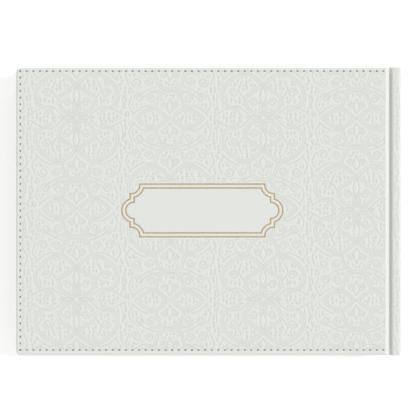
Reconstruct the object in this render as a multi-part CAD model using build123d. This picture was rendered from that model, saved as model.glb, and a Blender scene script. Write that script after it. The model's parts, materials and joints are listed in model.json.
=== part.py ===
from build123d import *
import os

# Wedding guest book lying on its front cover. +X is the spine side, +Y the head, +Z up, in mm.

# Overall
book_length = 236.0
cover_height = 176.0
spine_overhang = 0.4
book_thickness = 20.0

# Cover, from the outside in
leather_thickness = 0.7
padding_thickness = 0.5
board_thickness = 1.9
turn_in_thickness = 0.3
turn_in_width = 15.0
pastedown_thickness = 0.2

# Text block
fore_edge_square = 3.5
head_square = 3.0
leaf_thickness = 0.2
loose_leaves = 3
signature_count = 8
bound_margin = 5.0
leaf_gap = 0.4
leaf_stagger = 0.4

# Spine, from the outside in
spine_board_thickness = 1.8
spine_lining_thickness = 0.3
mull_thickness = 0.3
glue_thickness = 0.4
spine_stack = (leather_thickness + spine_board_thickness + spine_lining_thickness
               + mull_thickness + glue_thickness)
roll_drop = 0.2
roll_radius = 1.2
roll_foot_width = 1.5
mull_flap = 3.0
mull_end_inset = 8.0

# Joint groove
joint_width = 9.7
groove_from_spine = 6.7
groove_flat = 1.0
groove_depth = 2.4

# Sewing and bands
band_radius = 0.9
sewing_stations = 5
sewing_pitch = 32.0
sewing_width = 1.0
sewing_thickness = 0.2

# Decoration of each cover
thread_width = 0.8
thread_height = 0.45
thread_sink = 0.5
stitch_head_inset = 2.0
stitch_fore_inset = 2.5
stitch_tail_inset = 3.1
stitch_end_gap = 1.3
frame_center = (-3.95, 0.6)
frame_half_length = 44.2
frame_half_height = 16.15
notch_center = (43.5, 15.5)
notch_radius = 5.2
end_arc_offset = 41.9
end_arc_radius = 7.4
line_spacing = 2.4
line_width = 0.8
foil_thickness = 0.25
foil_groove = 0.3

# Worked out
half_length = book_length / 2
half_cover = cover_height / 2
half_spine = half_cover + spine_overhang
mid_height = book_thickness / 2
cover_thickness = (leather_thickness + padding_thickness + board_thickness
                   + turn_in_thickness + pastedown_thickness)
block_bottom = cover_thickness
block_top = book_thickness - cover_thickness
block_spine = half_length - spine_stack
block_fore = -half_length + fore_edge_square
half_block = half_cover - head_square
pastedown_top = block_top + pastedown_thickness
board_bottom = pastedown_top + turn_in_thickness
board_top = board_bottom + board_thickness
padding_top = board_top + padding_thickness
board_fore = -half_length + leather_thickness
board_spine = half_length - joint_width
half_board = half_cover - leather_thickness
groove_x = half_length - groove_from_spine
groove_top = book_thickness - groove_depth
leaf_stack_bottom = block_top - (loose_leaves + 1) * leaf_thickness
signature_bottom = block_bottom + leaf_thickness
signature_thickness = (leaf_stack_bottom - signature_bottom) / signature_count


def block(x0, x1, half_y, z0, z1):
    """A box between two X and two Z places, centred on the XZ plane."""
    box = Box(x1 - x0, 2 * half_y, z1 - z0)
    return Pos((x0 + x1) / 2, 0, (z0 + z1) / 2) * box


def bar(x0, x1, y0, y1, z0, z1):
    """A box between two places on each axis."""
    box = Box(x1 - x0, y1 - y0, z1 - z0)
    return Pos((x0 + x1) / 2, (y0 + y1) / 2, (z0 + z1) / 2) * box


def along_y(points, half_y):
    """The closed XZ outline through the points, extruded to both sides of the XZ plane."""
    outline = Plane.XZ * make_face(Polyline(*points, close=True))
    return extrude(outline, half_y, both=True)


def stitch_path(width, z0, z1):
    """A U of thread on the head, fore-edge and tail, open at the spine side."""
    head = half_cover - stitch_head_inset
    tail = -half_cover + stitch_tail_inset
    fore = -half_length + stitch_fore_inset
    end = board_spine - stitch_end_gap
    w = width / 2
    head_run = bar(fore - w, end, head - w, head + w, z0, z1)
    tail_run = bar(fore - w, end, tail - w, tail + w, z0, z1)
    return head_run + tail_run + bar(fore - w, fore + w, tail, head, z0, z1)


def plaque(offset):
    """The plaque outline, moved outward by an offset."""
    shape = Rectangle(2 * (frame_half_length + offset), 2 * (frame_half_height + offset))
    for side in (-1, 1):
        shape += Pos(side * end_arc_offset, 0) * Circle(end_arc_radius + offset)
        for end in (-1, 1):
            corner = Pos(side * notch_center[0], end * notch_center[1])
            shape -= corner * Circle(notch_radius - offset)
    return shape


def frame_lines(z0, z1):
    """The two parallel lines of the plaque frame."""
    lines = []
    for offset in (0, -line_spacing):
        ring = plaque(offset + line_width / 2) - plaque(offset - line_width / 2)
        lines.append(Pos(*frame_center, z0) * extrude(ring, z1 - z0))
    return lines


def cover_parts():
    """The pieces of the back cover, by name without their side."""
    top = book_thickness
    skin = block(-half_length, board_spine, half_cover, pastedown_top, top)
    skin -= block(board_fore, board_spine, half_board, board_bottom, padding_top)
    window_fore = -half_length + turn_in_width
    window_half = half_cover - turn_in_width
    window = block(window_fore, board_spine, window_half, pastedown_top, board_bottom)
    skin -= window
    skin -= stitch_path(thread_width, top - thread_sink, top)
    for line in frame_lines(top - foil_groove, top):
        skin -= line
    foil_top = top - foil_groove + foil_thickness
    return {
        "leather": skin,
        "board": block(board_fore, board_spine, half_board, board_bottom, board_top),
        "padding": block(board_fore, board_spine, half_board, board_top, padding_top),
        "infill": window,
        "pastedown": block(block_fore, board_spine, half_block, block_top, pastedown_top),
        "stitching": stitch_path(thread_width, top - thread_sink, top - thread_sink + thread_height),
        "gold_frame": Compound(children=frame_lines(top - foil_groove, foil_top)),
        "joint_leather": joint_leather(),
    }


def joint_leather():
    """The slope from the board edge down to the groove."""
    top = book_thickness
    t = leather_thickness
    points = [
        (board_spine, top),
        (groove_x, groove_top),
        (groove_x, groove_top - t),
        (board_spine, top - t),
    ]
    return along_y(points, half_cover)


def spine_leather():
    """The cover over the spine, with its two rolls down to the grooves."""
    t = leather_thickness
    roll_top = book_thickness - roll_drop
    foot = groove_x + groove_flat
    crown = foot + roll_foot_width
    outer = [(groove_x, groove_top), (foot, groove_top), (crown, roll_top),
             (half_length - roll_radius, roll_top), (half_length, roll_top - roll_radius)]
    inner = [(groove_x, groove_top - t), (foot + t / 2, groove_top - t), (crown + t / 2, roll_top - t),
             (half_length - roll_radius, roll_top - t), (half_length - t, roll_top - roll_radius)]
    outer += [(x, book_thickness - z) for x, z in reversed(outer)]
    inner += [(x, book_thickness - z) for x, z in reversed(inner)]
    return along_y(outer + inner[::-1], half_spine)


def spine_parts():
    """The pieces between the spine leather and the folds of the block."""
    board_out = half_length - leather_thickness
    board_in = board_out - spine_board_thickness
    lining_in = board_in - spine_lining_thickness
    mull_in = lining_in - mull_thickness
    edge = roll_drop + roll_radius
    flap_top = block_top + mull_thickness
    mull_half = half_block - mull_end_inset
    flap_fore = mull_in - mull_flap
    mull = block(flap_fore, lining_in, mull_half, block_bottom - mull_thickness, flap_top)
    mull -= block(flap_fore, mull_in, mull_half, block_bottom, block_top)
    threads = []
    for station in range(sewing_stations):
        y = (station - (sewing_stations - 1) / 2) * sewing_pitch
        low = y - sewing_width / 2
        x1 = block_spine + sewing_thickness
        threads.append(bar(block_spine, x1, low, low + sewing_width, block_bottom, block_top))
    glue = block(block_spine, mull_in, half_block, block_bottom, block_top)
    for thread in threads:
        glue -= thread
    return {
        "spine_leather": spine_leather(),
        "spine_board": block(board_in, board_out, half_cover, edge, book_thickness - edge),
        "spine_lining": block(lining_in, board_in, mull_half, block_bottom, block_top),
        "spine_mull": mull,
        "spine_glue": glue,
        "sewing_thread": Compound(children=threads),
    }


def band(side):
    """The rolled band at one end of the spine folds."""
    height = block_top - block_bottom
    x = block_spine - band_radius
    y = side * (half_block + band_radius)
    return Pos(x, y, mid_height) * Cylinder(band_radius, height)


def block_parts():
    """The sewn sections, the loose leaves and their bound margins."""
    parts = {}
    for i in range(signature_count):
        low = signature_bottom + i * signature_thickness
        high = low + signature_thickness
        parts[f"signature_{i + 1}"] = block(block_fore, block_spine, half_block, low, high)
    parts["front_flyleaf"] = block(block_fore, block_spine, half_block, block_bottom, signature_bottom)
    margins = []
    for i in range(loose_leaves + 1):
        low = leaf_stack_bottom + i * leaf_thickness
        high = low + leaf_thickness
        margin_fore = block_spine - bound_margin - leaf_stagger * (loose_leaves - i)
        margins.append(block(margin_fore, block_spine, half_block, low, high))
        name = f"leaf_{i + 1}" if i < loose_leaves else "back_flyleaf"
        parts[name] = block(block_fore, margin_fore - leaf_gap, half_block, low, high)
    parts["bound_margins"] = margins[0] + margins[1:]
    parts["headband"] = band(1)
    parts["tailband"] = band(-1)
    return parts


nodes = {**spine_parts(), **block_parts()}
for name, shape in cover_parts().items():
    nodes["back_" + name] = shape
    nodes["front_" + name] = mirror(shape, about=Plane.XY.offset(mid_height))

os.makedirs("parts", exist_ok=True)
for name, shape in nodes.items():
    export_step(shape, f"parts/{name}.step")
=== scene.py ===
import json
import math

import bmesh
import bpy
import numpy as np
from mathutils import Matrix, Vector


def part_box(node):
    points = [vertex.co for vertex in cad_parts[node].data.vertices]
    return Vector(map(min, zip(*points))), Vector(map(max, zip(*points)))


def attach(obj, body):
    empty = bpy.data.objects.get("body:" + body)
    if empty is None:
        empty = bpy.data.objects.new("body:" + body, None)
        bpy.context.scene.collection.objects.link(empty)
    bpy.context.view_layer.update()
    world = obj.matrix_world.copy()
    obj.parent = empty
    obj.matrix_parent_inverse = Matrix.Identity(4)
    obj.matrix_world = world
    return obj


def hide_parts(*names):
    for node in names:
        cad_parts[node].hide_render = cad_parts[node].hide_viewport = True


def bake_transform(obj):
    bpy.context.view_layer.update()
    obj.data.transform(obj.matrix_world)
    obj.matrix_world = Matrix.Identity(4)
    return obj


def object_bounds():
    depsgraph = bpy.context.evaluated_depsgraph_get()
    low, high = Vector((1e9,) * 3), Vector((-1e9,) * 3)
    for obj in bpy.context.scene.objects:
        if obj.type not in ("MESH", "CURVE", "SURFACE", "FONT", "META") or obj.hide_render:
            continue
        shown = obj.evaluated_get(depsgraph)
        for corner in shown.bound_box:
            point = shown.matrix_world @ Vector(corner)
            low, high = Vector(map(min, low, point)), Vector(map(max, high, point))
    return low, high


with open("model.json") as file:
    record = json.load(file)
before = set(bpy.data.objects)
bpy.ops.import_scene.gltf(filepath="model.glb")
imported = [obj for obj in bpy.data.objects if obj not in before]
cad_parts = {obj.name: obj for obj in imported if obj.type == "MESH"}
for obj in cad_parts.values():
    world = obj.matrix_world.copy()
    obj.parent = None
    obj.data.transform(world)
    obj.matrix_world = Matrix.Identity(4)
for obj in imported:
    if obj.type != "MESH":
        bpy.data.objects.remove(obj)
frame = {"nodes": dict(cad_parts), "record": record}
nodes = frame["nodes"]
cad_bounds = [list(p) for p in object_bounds()]

MM = 0.001
low, high = (Vector(p) for p in cad_bounds)
TOP = high.z
MID = TOP / 2
COVER_LOW, COVER_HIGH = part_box("back_leather")
JOINT_START = COVER_HIGH.x
JOINT_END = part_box("back_joint_leather")[1].x
HALF_COVER = COVER_HIGH.y
HALF_SPINE = high.y
PANEL_DROP = COVER_HIGH.z - COVER_LOW.z
SKIN = 0.6 * MM
GROOVE_Z = TOP - 2.4 * MM
ROLL_Z = TOP - 0.2 * MM
STEP = 0.45 * MM
EDGE_RADIUS = 1.2 * MM
CORNER_RADIUS = 1.5 * MM
MIRROR = Matrix([[1, 0, 0, 0], [0, 1, 0, 0], [0, 0, -1, TOP], [0, 0, 0, 1]])
rng = np.random.default_rng(7)


# ---- Materials -----------------------------------------------------------------------------

def material(name, color, roughness, metallic=0.0):
    mat = bpy.data.materials.new(name)
    mat.use_nodes = True
    shader = mat.node_tree.nodes["Principled BSDF"]
    shader.inputs["Base Color"].default_value = (*color, 1)
    shader.inputs["Roughness"].default_value = roughness
    shader.inputs["Metallic"].default_value = metallic
    return mat


def noise(mat, scale, detail=4, stretch=(1, 1, 1)):
    tree = mat.node_tree
    place = tree.nodes.new("ShaderNodeTexCoord")
    mapping = tree.nodes.new("ShaderNodeMapping")
    mapping.inputs["Scale"].default_value = stretch
    texture = tree.nodes.new("ShaderNodeTexNoise")
    texture.inputs["Scale"].default_value = scale
    texture.inputs["Detail"].default_value = detail
    tree.links.new(place.outputs["Object"], mapping.inputs["Vector"])
    tree.links.new(mapping.outputs["Vector"], texture.inputs["Vector"])
    return texture.outputs["Fac"]


def tint(mat, factor, dark, light, low_at=0.35, high_at=0.65):
    tree = mat.node_tree
    ramp = tree.nodes.new("ShaderNodeValToRGB")
    ramp.color_ramp.elements[0].color = (*dark, 1)
    ramp.color_ramp.elements[1].color = (*light, 1)
    ramp.color_ramp.elements[0].position = low_at
    ramp.color_ramp.elements[1].position = high_at
    tree.links.new(factor, ramp.inputs["Fac"])
    tree.links.new(ramp.outputs["Color"], tree.nodes["Principled BSDF"].inputs["Base Color"])


def bump(mat, factor, distance, strength=0.5):
    tree = mat.node_tree
    node = tree.nodes.new("ShaderNodeBump")
    node.inputs["Distance"].default_value = distance
    node.inputs["Strength"].default_value = strength
    tree.links.new(factor, node.inputs["Height"])
    tree.links.new(node.outputs["Normal"], tree.nodes["Principled BSDF"].inputs["Normal"])


def surface(name, dark, light, roughness, scale, grain, stretch=(1, 1, 1), metallic=0.0):
    mat = material(name, light, roughness, metallic)
    factor = noise(mat, scale, stretch=stretch)
    tint(mat, factor, dark, light)
    bump(mat, factor, grain)
    return mat


def leatherette_material():
    """White embossed leatherette: painted shade makes the recesses a little darker, fine grain from
    bump.
    """
    mat = material("leatherette", (0.77, 0.785, 0.745), 0.48)
    relief_shade = mat.node_tree.nodes.new("ShaderNodeAttribute")
    relief_shade.attribute_name = "relief_shade"
    # the dark to light ramp is painted shade: the sunk parts of the emboss get the darker colour
    tint(mat, relief_shade.outputs["Fac"], (0.67, 0.68, 0.635), (0.785, 0.80, 0.76), 0.0, 1.0)
    bump(mat, noise(mat, 2600), 0.03 * MM, 0.4)
    return mat


MATS = {
    "leatherette": leatherette_material(),
    "gold_foil": surface("gold_foil", (0.42, 0.32, 0.16), (0.56, 0.43, 0.24), 0.42, 900, 0.02 * MM,
                         metallic=0.55),
    "page_paper": surface("page_paper", (0.74, 0.72, 0.65), (0.86, 0.84, 0.77), 0.85, 700, 0.02 * MM),
    "endpaper": surface("endpaper", (0.78, 0.77, 0.72), (0.86, 0.85, 0.80), 0.8, 500, 0.02 * MM),
    "greyboard": surface("greyboard", (0.34, 0.32, 0.29), (0.46, 0.44, 0.40), 0.9, 1200, 0.05 * MM),
    "card": surface("card", (0.70, 0.67, 0.60), (0.80, 0.77, 0.70), 0.85, 900, 0.03 * MM),
    "foam": surface("foam", (0.78, 0.78, 0.74), (0.86, 0.86, 0.82), 0.9, 1800, 0.06 * MM),
    "thread": surface("thread", (0.50, 0.50, 0.47), (0.70, 0.70, 0.66), 0.7, 2500, 0.04 * MM),
    "gauze": surface("gauze", (0.62, 0.60, 0.52), (0.80, 0.78, 0.70), 0.9, 900, 0.05 * MM),
    "glue": surface("glue", (0.70, 0.66, 0.50), (0.80, 0.76, 0.62), 0.5, 400, 0.03 * MM),
    "band_cloth": surface("band_cloth", (0.66, 0.65, 0.60), (0.86, 0.85, 0.80), 0.8, 900, 0.06 * MM,
                          stretch=(1, 1, 3)),
}
# dark material for the needle holes: painted shadow inside each hole
needle_shadow_mat = surface("needle_shadow", (0.15, 0.15, 0.14), (0.24, 0.24, 0.225), 0.8, 2000, 0.03 * MM)

slots = {s["node"]: s["material_slot"] for s in frame["record"]["subparts"]}
for name, node in nodes.items():
    node.data.materials.clear()
    node.data.materials.append(MATS[slots[name]])


def piece(name, verts, faces, slot, mat=None, smooth=True):
    mesh = bpy.data.meshes.new(name)
    mesh.from_pydata([tuple(v) for v in verts], [], faces)
    mesh.validate()
    shell = bmesh.new()
    shell.from_mesh(mesh)
    bmesh.ops.recalc_face_normals(shell, faces=shell.faces)
    shell.to_mesh(mesh)
    shell.free()
    obj = bpy.data.objects.new(name, mesh)
    bpy.context.scene.collection.objects.link(obj)
    mesh.materials.append(mat or MATS[slot])
    mesh.polygons.foreach_set("use_smooth", [smooth] * len(mesh.polygons))
    return obj


# ---- The damask: a traditional ogee medallion pattern, in mm -----------------------------

COLUMN = 57.15
PERIOD = 111.5
SHORT_JOINT = 39.5


def smooth_line(points, per_span=8):
    """A Catmull-Rom line through the points."""
    p = np.array([points[0], *points, points[-1]], float)
    t = np.linspace(0, 1, per_span, endpoint=False)[:, None]
    out = []
    for a, b, c, d in zip(p[:-3], p[1:-2], p[2:-1], p[3:]):
        out.append(0.5 * (2 * b + (c - a) * t + (2 * a - 5 * b + 4 * c - d) * t**2
                          + (3 * b - a - 3 * c + d) * t**3))
    return np.vstack([*out, p[-1:]])


def spiral(center, radius, turns=1.4):
    a = np.linspace(0, 2 * math.pi * turns, 28)
    r = radius * (1 - 0.75 * a / a[-1])
    return np.column_stack([center[0] + r * np.cos(a), center[1] + r * np.sin(a)])


STRAP = smooth_line([(-15.5, 4.2), (-22.5, 7.5), (-25.4, 13), (-23, 19.5), (-17, 25), (-9.5, 26.6),
                     (-5, 24.2), (0, 19.9), (6, 15.8), (10.2, 12.8), (10.9, 10.4), (9.2, 5.6),
                     (5, 2.4), (1.2, 2.1), (-1.6, 4.4), (-1.0, 6.6), (2, 9)])
NECK = smooth_line([(14, 27.4), (9.6, 28.4), (8.4, 31.5), (6.6, 35.4), (3, 37.7), (0, 38.1)])
LENS = smooth_line([(0, 7.7), (1.9, 13.3), (0, 19)])
LEAF = smooth_line([(7.5, 0), (12, 4.6), (17, 6.9), (24, 4.4), (31, 0)])
SPINDLE = smooth_line([(1.2, 0), (6, 0.9), (11, 0)])
WINGS = [smooth_line([(8, 36.4), (13, 38), (19.5, 42)]),
         smooth_line([(6, 38.6), (12, 40), (18, 44)])]
CURLS = [spiral((5.8, 9.2), 2.8), spiral((12.4, 32.8), 2.9), spiral((3.4, 28.6), 2.4),
         spiral((18, 15), 3.0), spiral((20.5, 33.5), 3.2)]
SPRIGS = [smooth_line([(0, 24), (2, 27.5), (0, 33)]), smooth_line([(12, 12), (15, 17), (13, 22)]),
          smooth_line([(24, 24), (27, 29), (25, 35)]), smooth_line([(27, 3), (28.5, 8), (28, 14)]),
          smooth_line([(15, 29), (20, 27), (25, 23)])]


def distance(px, py, line, reach=4.0):
    """Distance of each point to a polyline, exact only within reach."""
    out = np.full(px.shape, reach)
    near = ((px > line[:, 0].min() - reach) & (px < line[:, 0].max() + reach)
            & (py > line[:, 1].min() - reach) & (py < line[:, 1].max() + reach))
    x, y = px[near], py[near]
    if not len(x):
        return out
    best = np.full(x.shape, reach)
    for (ax, ay), (bx, by) in zip(line[:-1], line[1:]):
        dx, dy = bx - ax, by - ay
        t = np.clip(((x - ax) * dx + (y - ay) * dy) / max(dx * dx + dy * dy, 1e-9), 0, 1)
        best = np.minimum(best, np.hypot(x - ax - t * dx, y - ay - t * dy))
    out[near] = best
    return out


def line_height(d, half_width):
    return np.clip(1 - d / half_width, 0, 1) ** 0.7


def motif(px, py):
    """Relief from 0 to 1 of one medallion quarter, folded about both axes by the caller."""
    height = np.zeros(px.shape)
    covered = np.full(px.shape, 9.0)
    for line in (STRAP, STRAP * (-1, 1), NECK):
        d = distance(px, py, line)
        covered = np.minimum(covered, d)
        height = np.maximum(height, line_height(np.abs(d - 0.72), 0.55))
    for line in (LENS, LEAF, SPINDLE, *WINGS, *CURLS, *SPRIGS):
        d = distance(px, py, line)
        covered = np.minimum(covered, d)
        height = np.maximum(height, line_height(d, 0.6))
    return height, covered


def damask_tile(cell=0.25):
    """Relief over one column and one vertical period, with the full medallion at the middle."""
    nx, ny = round(COLUMN / cell), round(PERIOD / cell)
    x = (np.arange(nx) + 0.5) / nx * COLUMN - COLUMN / 2
    y = (np.arange(ny) + 0.5) / ny * PERIOD - PERIOD / 2
    gx, gy = np.meshgrid(x, y, indexing="ij")
    height, covered = motif(np.abs(gx), np.abs(gy))
    short_y = PERIOD / 2 - np.abs(gy) + 21.0
    more, more_covered = motif(np.abs(gx) * 1.08, short_y)
    outside = np.abs(gy) > SHORT_JOINT - 1
    height = np.where(outside, np.maximum(height, more), height)
    covered = np.where(outside, np.minimum(covered, more_covered), covered)
    dots = rng.uniform(-0.7, 0.7, (23, 45, 2))
    ix = np.clip(((gx + COLUMN / 2) / COLUMN * 23).astype(int), 0, 22)
    iy = np.clip(((gy + PERIOD / 2) / PERIOD * 45).astype(int), 0, 44)
    cx = (ix + 0.5) * COLUMN / 23 - COLUMN / 2 + dots[ix, iy, 0]
    cy = (iy + 0.5) * PERIOD / 45 - PERIOD / 2 + dots[ix, iy, 1]
    dot = np.clip(1.5 - np.hypot(gx - cx, (gy - cy) * 0.8) / 0.75, 0, 1)
    return np.maximum(height, dot * np.clip((covered - 1.5) / 0.5, 0, 1))


TILE = damask_tile()


def damask(x, y):
    """Relief at points in mm: columns alternate by half a drop."""
    column = np.floor((x + 81.4 + COLUMN / 2) / COLUMN)
    drop = np.where(column % 2 == 0, 57.5, 1.2)
    u = ((x + 81.4 + COLUMN / 2) / COLUMN) % 1
    v = ((y - drop + PERIOD / 2) / PERIOD) % 1
    i = u * TILE.shape[0] - 0.5
    j = v * TILE.shape[1] - 0.5
    i0, j0 = np.floor(i).astype(int), np.floor(j).astype(int)
    fi, fj = i - i0, j - j0
    out = 0
    for di, wi in ((0, 1 - fi), (1, fi)):
        for dj, wj in ((0, 1 - fj), (1, fj)):
            out = out + TILE[(i0 + di) % TILE.shape[0], (j0 + dj) % TILE.shape[1]] * wi * wj
    return out


# ---- The plaque frame and stitching, in mm ------------------------------------------------

FRAME_X, FRAME_Y = -3.95, 0.6
HALF_LENGTH, HALF_HEIGHT = 44.2, 16.15
END_ARC_X, END_ARC_RADIUS = 41.9, 7.4
NOTCH_X, NOTCH_Y, NOTCH_RADIUS = 43.5, 15.5, 5.2
LINE_SPACING = 2.4
HEAD_INSET, FORE_INSET, TAIL_INSET = 2.0, 2.5, 3.1
STITCH_PITCH = 4.08


def plaque_distance(x, y):
    """Signed distance to the outer gold line, negative inside."""
    ax, ay = np.abs(x - FRAME_X), np.abs(y - FRAME_Y)
    box = np.maximum(ax - HALF_LENGTH, ay - HALF_HEIGHT)
    shape = np.minimum(box, np.hypot(ax - END_ARC_X, ay) - END_ARC_RADIUS)
    return np.maximum(shape, NOTCH_RADIUS - np.hypot(ax - NOTCH_X, ay - NOTCH_Y))


def stitch_points():
    """Needle holes along the head, fore-edge and tail, in order along the seam."""
    half = HALF_COVER / MM
    fore = low.x / MM + FORE_INSET
    head, tail = half - HEAD_INSET, -half + TAIL_INSET
    end = JOINT_START / MM - 1.3
    runs = [((end, head), (fore, head)), ((fore, head), (fore, tail)), ((fore, tail), (end, tail))]
    out = []
    for (ax, ay), (bx, by) in runs:
        count = round(math.hypot(bx - ax, by - ay) / STITCH_PITCH)
        t = np.linspace(0, 1, count + 1)
        out.append(np.column_stack([ax + (bx - ax) * t, ay + (by - ay) * t]))
    return out


STITCHES = stitch_points()


def panel_relief(x, y):
    """Height of the cover panel against its flat top, in mm, and the 0 to 1 tint, which is painted shade
    in the pattern's recesses.
    """
    half = HALF_COVER / MM
    seam = np.minimum.reduce([np.abs(half - HEAD_INSET - y), np.abs(y + half - TAIL_INSET),
                              np.abs(x - low.x / MM - FORE_INSET)])
    inside = np.minimum.reduce([half - HEAD_INSET - y, y + half - TAIL_INSET,
                                x - low.x / MM - FORE_INSET])
    pattern = damask(x, y)
    plaque = plaque_distance(x, y)
    on = np.clip(inside / 0.9, 0, 1) * np.clip((plaque - 0.9) / 0.6, 0, 1)
    height = -0.26 * pattern * on
    height -= 0.22 * np.exp(-(seam / 0.8) ** 2) * (x < JOINT_START / MM - 1)
    line = np.minimum(np.abs(plaque), np.abs(plaque + LINE_SPACING))
    height = np.where(plaque < 2, height - 0.16 * np.clip(2.2 - line / 0.4, 0, 1), height)
    # the second value is painted shade: 1 is the full colour, lower where the damask is sunk
    return height, 1 - 0.8 * pattern * on


# ---- Leather skins -------------------------------------------------------------------------

def profile():
    """The outer cross-section from fore-edge to the spine's mid height: x, z and outward normal."""
    fore = low.x + EDGE_RADIUS
    panel = np.arange(fore, JOINT_START - 0.2 * MM, STEP)
    points = [(x, TOP) for x in panel]
    corner = 1.4 * MM
    bend = [(JOINT_START, TOP), (JOINT_START + 0.9 * MM, TOP - 0.35 * MM),
            (JOINT_END - 0.6 * MM, GROOVE_Z + 0.5 * MM), (JOINT_END, GROOVE_Z),
            (JOINT_END + 0.6 * MM, GROOVE_Z), (JOINT_END + 0.9 * MM, GROOVE_Z + 1.0 * MM),
            (JOINT_END + 1.3 * MM, ROLL_Z - 0.3 * MM), (JOINT_END + 2.3 * MM, ROLL_Z),
            (high.x - corner, ROLL_Z), (high.x - 0.35 * MM, ROLL_Z - 0.45 * MM),
            (high.x, ROLL_Z - corner), (high.x, (ROLL_Z + MID) / 2), (high.x, MID)]
    points += [tuple(p) for p in smooth_line(bend, 5)]
    points = np.array(points)
    tangent = np.gradient(points, axis=0)
    tangent /= np.linalg.norm(tangent, axis=1)[:, None]
    return points, np.column_stack([-tangent[:, 1], tangent[:, 0]])


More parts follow.
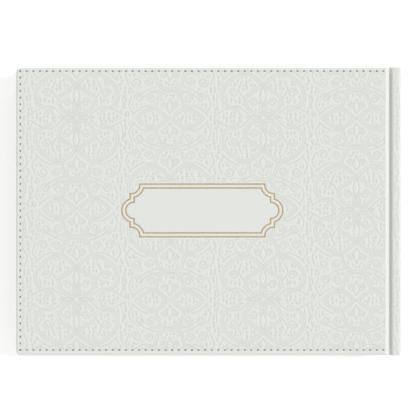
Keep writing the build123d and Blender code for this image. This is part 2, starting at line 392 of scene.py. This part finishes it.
def make_skin(side):
    """One closed leather piece: cover panel, joint slope, groove, roll and half of the spine."""
    line, normal = profile()
    nx = len(line)
    inner = HALF_COVER - EDGE_RADIUS
    y = np.linspace(-inner, inner, round(2 * inner / STEP) + 1)
    ny = len(y)
    px = np.repeat(line[:, :1], ny, 1)
    pz = np.repeat(line[:, 1:], ny, 1)
    on_spine = np.clip((line[:, 0] - JOINT_START) / (JOINT_END - JOINT_START), 0, 1)[:, None]
    py = y[None, :] * (1 + on_spine * (HALF_SPINE - HALF_COVER) / HALF_COVER)
    # square grid corners at the fore-edge become rounded ones
    a = np.clip(line[0, 0] + CORNER_RADIUS - px, 0, None)
    b = np.clip(np.abs(py) - inner + CORNER_RADIUS, 0, None)
    squeeze = np.where((a > 0) & (b > 0), np.maximum(a, b) / np.maximum(np.hypot(a, b), 1e-9), 1)
    px = px + a * (1 - squeeze)
    py = py - np.sign(py) * b * (1 - squeeze)
    height, shade = panel_relief(px / MM, py / MM)
    # the pattern fades out on the slope and groove, and runs on over the roll and spine
    run = np.concatenate([[0], np.cumsum(np.hypot(*np.diff(line, axis=0).T))])[:, None]
    s = run / MM + line[0, 0] / MM
    roll = np.clip((line[:, 0] - JOINT_END - 1.2 * MM) / (0.8 * MM), 0, 1)[:, None]
    panel = np.clip((JOINT_START - line[:, 0]) / (0.8 * MM), 0, 1)[:, None]
    rolled = damask(np.repeat(s, ny, 1), py / MM)
    height = height * panel - 0.2 * rolled * roll
    # shade is painted shade: on the panel it comes from panel_relief, and over the roll and spine the
    # rolled pattern's recesses are painted darker
    shade = np.where(panel > 0, 1 - (1 - shade) * panel, 1 - 0.8 * rolled * roll)
    # painted shade along the bottom of the joint groove: a dark line that fades out about 3 mm short of
    # head and tail
    from_groove = (line[:, 0] - JOINT_END - 0.5 * MM) / (0.6 * MM)
    groove = (np.exp(-from_groove ** 2) * (line[:, 1] < ROLL_Z))[:, None]
    shade = shade - 0.6 * groove * np.clip((HALF_COVER - 3 * MM - np.abs(py)) / MM, 0, 1)
    px = px + normal[:, :1] * height * MM
    pz = pz + normal[:, 1:] * height * MM
    verts = np.stack([px, py, pz], -1).reshape(-1, 3)
    tints = [shade.reshape(-1)]
    grid = np.arange(nx * ny).reshape(nx, ny)
    quads = np.stack([grid[:-1, :-1], grid[1:, :-1], grid[1:, 1:], grid[:-1, 1:]], -1).reshape(-1, 4)
    faces = quads.tolist()
    # the boundary: tail side from spine to fore-edge, fore-edge, head side back to the spine
    rows = np.concatenate([np.arange(nx)[::-1], np.zeros(ny - 2, int), np.arange(nx)])
    cols = np.concatenate([np.zeros(nx, int), np.arange(1, ny - 1), np.full(nx, ny - 1)])
    base = verts[grid[rows, cols]]
    down = np.column_stack([-normal[rows, 0], np.zeros(len(rows)), -normal[rows, 1]])
    out = np.zeros((len(rows), 2))
    out[:, 1] = np.where(cols == 0, -1, np.where(cols == ny - 1, 1, 0))
    at_fore = rows == 0
    out[at_fore, 0] = -1
    near = base[:, 0] < line[0, 0] + CORNER_RADIUS
    center = np.column_stack([np.full(len(rows), line[0, 0] + CORNER_RADIUS),
                              np.sign(base[:, 1]) * (inner - CORNER_RADIUS)])
    arc = near & (np.abs(base[:, 1]) > inner - CORNER_RADIUS)
    out[arc] = base[arc][:, :2] - center[arc]
    out /= np.linalg.norm(out, axis=1)[:, None]
    panel_row = line[rows, 0] <= JOINT_START + 0.05 * MM
    total = np.where(panel_row, PANEL_DROP, SKIN)
    rings = [(math.sin(t), 1 - math.cos(t), 0) for t in np.linspace(0, math.pi / 2, 6)[1:]] + [(1, 1, 1)]
    previous = grid[rows, cols]
    for sine, dip, rest in rings:
        bend = np.minimum(EDGE_RADIUS, total)
        drop = bend * dip * np.where(panel_row, 1, 0.9) + rest * np.clip(total - bend, 0, None)
        ring = base.copy()
        ring[:, 0] += out[:, 0] * EDGE_RADIUS * sine
        ring[:, 1] += out[:, 1] * EDGE_RADIUS * sine
        ring += down * drop[:, None]
        index = np.arange(len(rows)) + len(verts)
        verts = np.vstack([verts, ring])
        tints.append(np.full(len(rows), 0.95))
        strip = np.stack([previous[:-1], index[:-1], index[1:], previous[1:]], -1)
        faces += strip[:, ::-1].tolist()
        previous = index
    tail, fore, head = previous[:nx][::-1], previous[nx:nx + ny - 2], previous[nx + ny - 2:]
    under = np.stack([tail[1:-1], head[1:-1], head[2:], tail[2:]], -1)
    faces += under.tolist()
    faces.append([int(v) for v in [tail[1], tail[0], *fore, head[0], head[1]]][::-1])
    # close the end at the spine's mid height
    tail_side = [r * len(rows) + nx * ny for r in range(len(rings))]
    head_side = [r * len(rows) + nx * ny + len(rows) - 1 for r in range(len(rings))]
    faces.append([int(v) for v in [*tail_side[::-1], *grid[-1], *head_side]])
    if side == "front":
        verts[:, 2] = TOP - verts[:, 2]
        faces = [f[::-1] for f in faces]
    obj = piece(f"{side}_leather_skin", verts, faces, "leatherette")
    # the painted shade values are stored per vertex in this attribute
    attribute = obj.data.attributes.new("relief_shade", "FLOAT", "POINT")
    values = np.clip(np.concatenate(tints), 0, 1).astype(np.float32)
    attribute.data.foreach_set("value", values)
    uv = obj.data.uv_layers.new(name="OFBake")
    loops = np.zeros(len(obj.data.loops), int)
    obj.data.loops.foreach_get("vertex_index", loops)
    gi = np.concatenate([np.repeat(np.arange(nx), ny) / nx * 0.9 + 0.05,
                         *[rows / nx * 0.9 + 0.05 for _ in rings]])
    gj = np.concatenate([np.tile(np.arange(ny), nx) / ny * 0.9 + 0.05,
                         *[cols / ny * 0.9 + 0.05 + out[:, 1] * 0.007 * (k + 1)
                           for k in range(len(rings))]])
    uv.data.foreach_set("uv", np.column_stack([gi[loops], gj[loops]]).ravel())
    replaced = [f"{side}_leather", f"{side}_joint_leather"]
    if side == "back":
        replaced.append("spine_leather")
    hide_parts(*replaced)
    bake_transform(obj)
    return obj


# ---- Stitches ------------------------------------------------------------------------------

def capsule(a, b, radius, flat, sides=8, rings=4):
    """A closed rounded bead between two XY points, flattened in Z."""
    a, b = np.array(a), np.array(b)
    along = (b - a) / np.linalg.norm(b - a)
    across = np.array([-along[1], along[0]])
    stations = [(a, -math.cos(t) * radius, math.sin(t)) for t in np.linspace(0, math.pi / 2, rings)[1:]]
    stations += [(b, math.cos(t) * radius, math.sin(t)) for t in np.linspace(math.pi / 2, 0, rings)[:-1]]
    angles = np.linspace(0, 2 * math.pi, sides, endpoint=False)
    verts = [(*(a - along * radius), 0)]
    for origin, shift, size in stations:
        for t in angles:
            xy = origin + along * shift + across * math.cos(t) * radius * size
            verts.append((*xy, math.sin(t) * radius * size * flat))
    verts.append((*(b + along * radius), 0))
    end = len(verts) - 1
    faces = []
    for k in range(sides):
        n = (k + 1) % sides
        faces.append((0, 1 + n, 1 + k))
        for r in range(len(stations) - 1):
            p = 1 + r * sides
            faces.append((p + k, p + n, p + sides + n, p + sides + k))
        p = 1 + (len(stations) - 1) * sides
        faces.append((p + k, p + n, end))
    return np.array(verts), faces


def join(name, parts, slot, mat=None):
    verts, faces, start = [], [], 0
    for v, f in parts:
        verts.append(v)
        faces += [tuple(i + start for i in face) for face in f]
        start += len(v)
    return piece(name, np.vstack(verts), faces, slot, mat)


def make_stitching(side):
    threads, holes = [], []
    for run in STITCHES:
        step = (run[1] - run[0]) / np.linalg.norm(run[1] - run[0])
        for a, b in zip(run[:-1], run[1:]):
            v, f = capsule((a + step * 1.1) * MM, (b - step * 1.1) * MM, 0.36 * MM, 0.6)
            v[:, 2] += TOP - 0.2 * MM
            threads.append((v, f))
        # a dark bead at each needle hole is painted shadow of the hole, not thread or leather colour
        for point in run:
            v, f = capsule((point - step * 0.25) * MM, (point + step * 0.25) * MM, 0.42 * MM, 0.5)
            v[:, 2] += TOP - 0.2 * MM
            holes.append((v, f))
    made = [join(f"{side}_stitch_thread", threads, "leatherette"),
            join(f"{side}_stitch_needle_hole_shadows", holes, "thread", needle_shadow_mat)]
    for obj in made:
        if side == "front":
            obj.data.transform(MIRROR)
            obj.data.flip_normals()
        values = np.ones(len(obj.data.vertices), np.float32)
        obj.data.attributes.new("relief_shade", "FLOAT", "POINT").data.foreach_set("value", values)
        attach(obj, f"{side}_cover")
    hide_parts(f"{side}_stitching")


for cover_side in ("back", "front"):
    make_skin(cover_side)
    make_stitching(cover_side)


# ---- Paper ---------------------------------------------------------------------------------

def slab(lo, hi, columns=2):
    """A closed box divided along X."""
    xs = np.linspace(lo[0], hi[0], columns)
    corners = ((lo[1], lo[2]), (hi[1], lo[2]), (hi[1], hi[2]), (lo[1], hi[2]))
    verts = [(x, y, z) for x in xs for y, z in corners]
    faces = [(0, 1, 2, 3), tuple(4 * (columns - 1) + k for k in (3, 2, 1, 0))]
    for c in range(columns - 1):
        p = 4 * c
        faces += [(p + k, p + 4 + k, p + 4 + (k + 1) % 4, p + (k + 1) % 4) for k in range(4)]
    return np.array(verts), faces


SHEETS = 7
for index in range(1, 9):
    node_low, node_high = (np.array(c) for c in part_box(f"signature_{index}"))
    thick = (node_high[2] - node_low[2]) / SHEETS
    sheets = []
    for k in range(SHEETS):
        inset = rng.uniform(0, 0.35, 3) * MM
        z = node_low[2] + k * thick
        sheets.append(slab((node_low[0] + inset[0], node_low[1] + inset[1], z),
                           (node_high[0], node_high[1] - inset[2], z + thick * 0.86)))
    pages = join(f"signature_{index}_sheets", sheets, "page_paper")
    pages.data.polygons.foreach_set("use_smooth", [False] * len(pages.data.polygons))
    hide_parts(f"signature_{index}")
    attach(pages, "text_block")

margin_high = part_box("bound_margins")[1]
for leaf in ("leaf_1", "leaf_2", "leaf_3", "back_flyleaf"):
    leaf_low, leaf_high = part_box(leaf)
    grid_piece = slab(leaf_low, (margin_high.x, leaf_high.y, leaf_high.z - 0.02 * MM), 240)
    obj = piece(f"{leaf}_sheet", *grid_piece, slots[leaf], smooth=False)
    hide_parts(leaf, "bound_margins")
    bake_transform(obj)


# ---- Floor, light and camera ---------------------------------------------------------------

def background_rays(tree):
    """1 for the rays that show the background: camera, glossy and transmission rays."""
    path = tree.nodes.new("ShaderNodeLightPath")
    first = tree.nodes.new("ShaderNodeMath")
    first.operation = "MAXIMUM"
    second = tree.nodes.new("ShaderNodeMath")
    second.operation = "MAXIMUM"
    tree.links.new(path.outputs["Is Camera Ray"], first.inputs[0])
    tree.links.new(path.outputs["Is Glossy Ray"], first.inputs[1])
    tree.links.new(first.outputs[0], second.inputs[0])
    tree.links.new(path.outputs["Is Transmission Ray"], second.inputs[1])
    return second.outputs[0]


floor_mesh = bpy.data.meshes.new("floor")
floor_mesh.from_pydata([(-3, -3, 0), (3, -3, 0), (3, 3, 0), (-3, 3, 0)], [], [(0, 1, 2, 3)])
floor = bpy.data.objects.new("floor", floor_mesh)
bpy.context.scene.collection.objects.link(floor)
floor_mat = material("floor", (0.85, 0.85, 0.85), 0.9)
tree = floor_mat.node_tree
seen = background_rays(tree)
glow = tree.nodes["Principled BSDF"].inputs
glow["Emission Color"].default_value = (1, 1, 1, 1)
level = tree.nodes.new("ShaderNodeMath")
level.operation = "MULTIPLY"
level.inputs[1].default_value = 0.38
tree.links.new(seen, level.inputs[0])
tree.links.new(level.outputs[0], glow["Emission Strength"])
floor_mesh.materials.append(floor_mat)
floor.location.z = -0.0002

scene = bpy.context.scene
world = scene.world or bpy.data.worlds.new("world")
scene.world = world
world.use_nodes = True
tree = world.node_tree
background = tree.nodes["Background"]
background.inputs["Color"].default_value = (1, 1, 1, 1)
seen = background_rays(tree)
mix = tree.nodes.new("ShaderNodeMapRange")
mix.inputs["To Min"].default_value = 0.7
mix.inputs["To Max"].default_value = 1.0
tree.links.new(seen, mix.inputs["Value"])
tree.links.new(mix.outputs["Result"], background.inputs["Strength"])

sun = bpy.data.objects.new("key", bpy.data.lights.new("key", "SUN"))
sun.data.energy = 1.4
sun.data.angle = math.radians(6)
sun.rotation_euler = (0, math.radians(52), math.radians(8))
scene.collection.objects.link(sun)

LENS, SENSOR = 150, 36
VIEW_WIDTH = 254.8 * MM
camera = bpy.data.objects.new("camera", bpy.data.cameras.new("camera"))
camera.data.lens = LENS
camera.location = (-0.46 * MM, 2.1 * MM, TOP + LENS / SENSOR * VIEW_WIDTH)
scene.collection.objects.link(camera)
scene.camera = camera
scene.view_settings.view_transform = "Standard"
